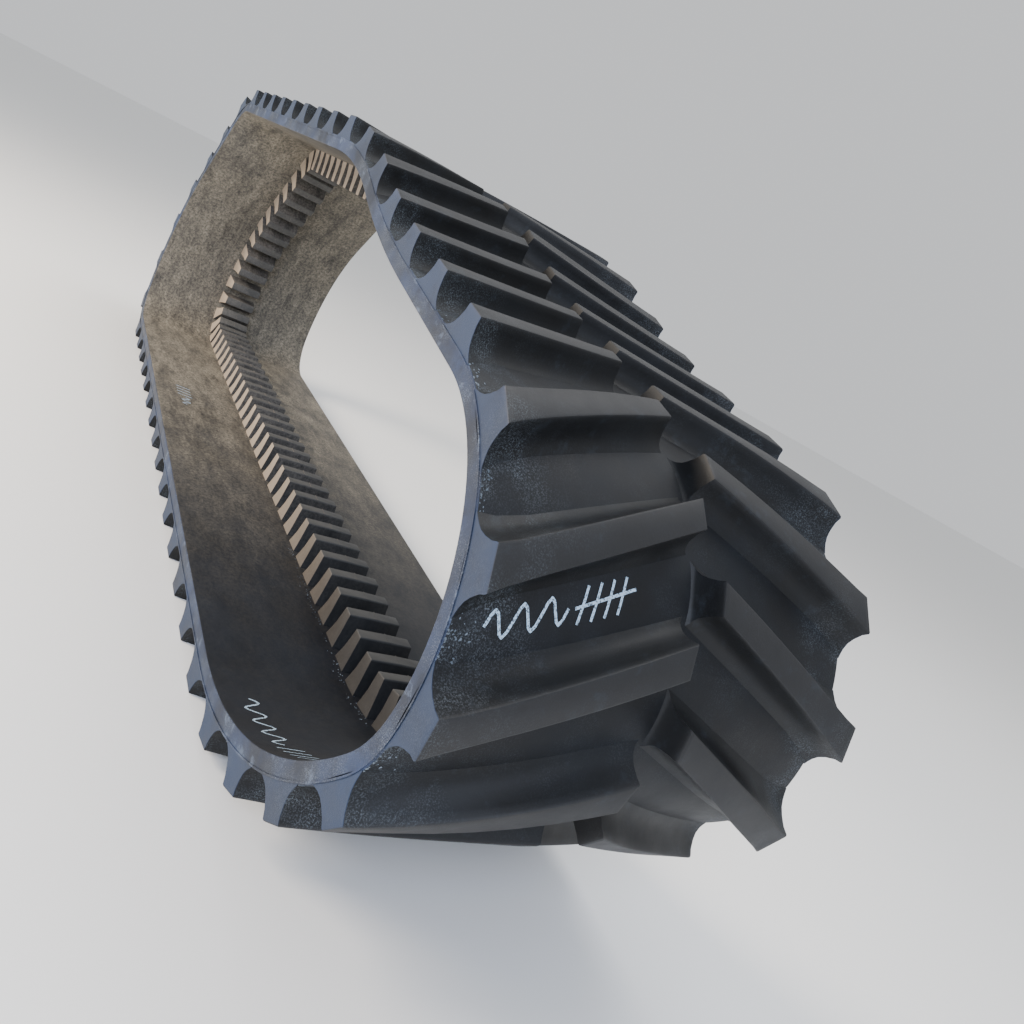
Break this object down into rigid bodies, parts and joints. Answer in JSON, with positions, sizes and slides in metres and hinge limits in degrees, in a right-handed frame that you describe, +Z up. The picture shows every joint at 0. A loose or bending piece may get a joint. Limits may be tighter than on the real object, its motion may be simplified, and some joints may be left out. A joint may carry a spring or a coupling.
{
  "type": "rubber track",
  "caption": "Endless rubber track belt with a central row of guide lugs inside and slanted chevron tread bars outside, standing on its tread.",
  "frame": {"origin": "On the ground under the middle of the belt's outer size.", "axes": "+X along the loop towards the round end, +Y across the belt, +Z up."},
  "size_m": [3.1906, 0.6984, 1.0699],
  "materials": {
    "tread_rubber": "moulded black tread rubber, satin, scuffed",
    "lug_rubber": "moulded black rubber with dust on the flanks",
    "inner_rubber": "calendered black rubber with dust streaks",
    "edge_rubber": "trimmed rubber edge with grey bloom",
    "steel_cable": "brass-coated steel cable layer",
    "ply_fabric": "rubberised bias ply"
  },
  "bodies": {
    "ground_run": {"ground_run_inner_cover": "inner_rubber", "ground_run_main_cables": "steel_cable", "ground_run_bias_plies": "ply_fabric", "ground_run_tread_base": "tread_rubber", "ground_run_edge_left": "edge_rubber", "ground_run_edge_right": "edge_rubber", "ground_run_guide_lugs": "lug_rubber", "ground_run_bars_left": "tread_rubber", "ground_run_bars_right": "tread_rubber"},
    "front_bend": {"front_bend_inner_cover": "inner_rubber", "front_bend_main_cables": "steel_cable", "front_bend_bias_plies": "ply_fabric", "front_bend_tread_base": "tread_rubber", "front_bend_edge_left": "edge_rubber", "front_bend_edge_right": "edge_rubber", "front_bend_guide_lugs": "lug_rubber", "front_bend_bars_left": "tread_rubber", "front_bend_bars_right": "tread_rubber"},
    "top_run": {"top_run_inner_cover": "inner_rubber", "top_run_main_cables": "steel_cable", "top_run_bias_plies": "ply_fabric", "top_run_tread_base": "tread_rubber", "top_run_edge_left": "edge_rubber", "top_run_edge_right": "edge_rubber", "top_run_guide_lugs": "lug_rubber", "top_run_bars_left": "tread_rubber", "top_run_bars_right": "tread_rubber"},
    "rear_bend": {"rear_bend_inner_cover": "inner_rubber", "rear_bend_main_cables": "steel_cable", "rear_bend_bias_plies": "ply_fabric", "rear_bend_tread_base": "tread_rubber", "rear_bend_edge_left": "edge_rubber", "rear_bend_edge_right": "edge_rubber", "rear_bend_guide_lugs": "lug_rubber", "rear_bend_bars_left": "tread_rubber", "rear_bend_bars_right": "tread_rubber"}
  },
  "joints": [
    {"name": "front_ground_bend", "type": "hinge", "parent": "ground_run", "child": "front_bend", "pos_m": [0.90696, 0, 0.072], "axis": [0, 1, 0], "range_deg": [-4, 4], "stiffness_Nm_per_rad": 15000},
    {"name": "front_top_bend", "type": "hinge", "parent": "front_bend", "child": "top_run", "pos_m": [0.98991, 0, 0.84152], "axis": [0, 1, 0], "range_deg": [-4, 4], "stiffness_Nm_per_rad": 15000},
    {"name": "rear_ground_bend", "type": "hinge", "parent": "ground_run", "child": "rear_bend", "pos_m": [-1.33304, 0, 0.072], "axis": [0, 1, 0], "range_deg": [-4, 4], "stiffness_Nm_per_rad": 15000}
  ],
  "couplings": [
    {"joint": "front_top_bend", "follows": "front_ground_bend", "ratio": -1},
    {"joint": "rear_ground_bend", "follows": "front_ground_bend", "ratio": 1}
  ]
}
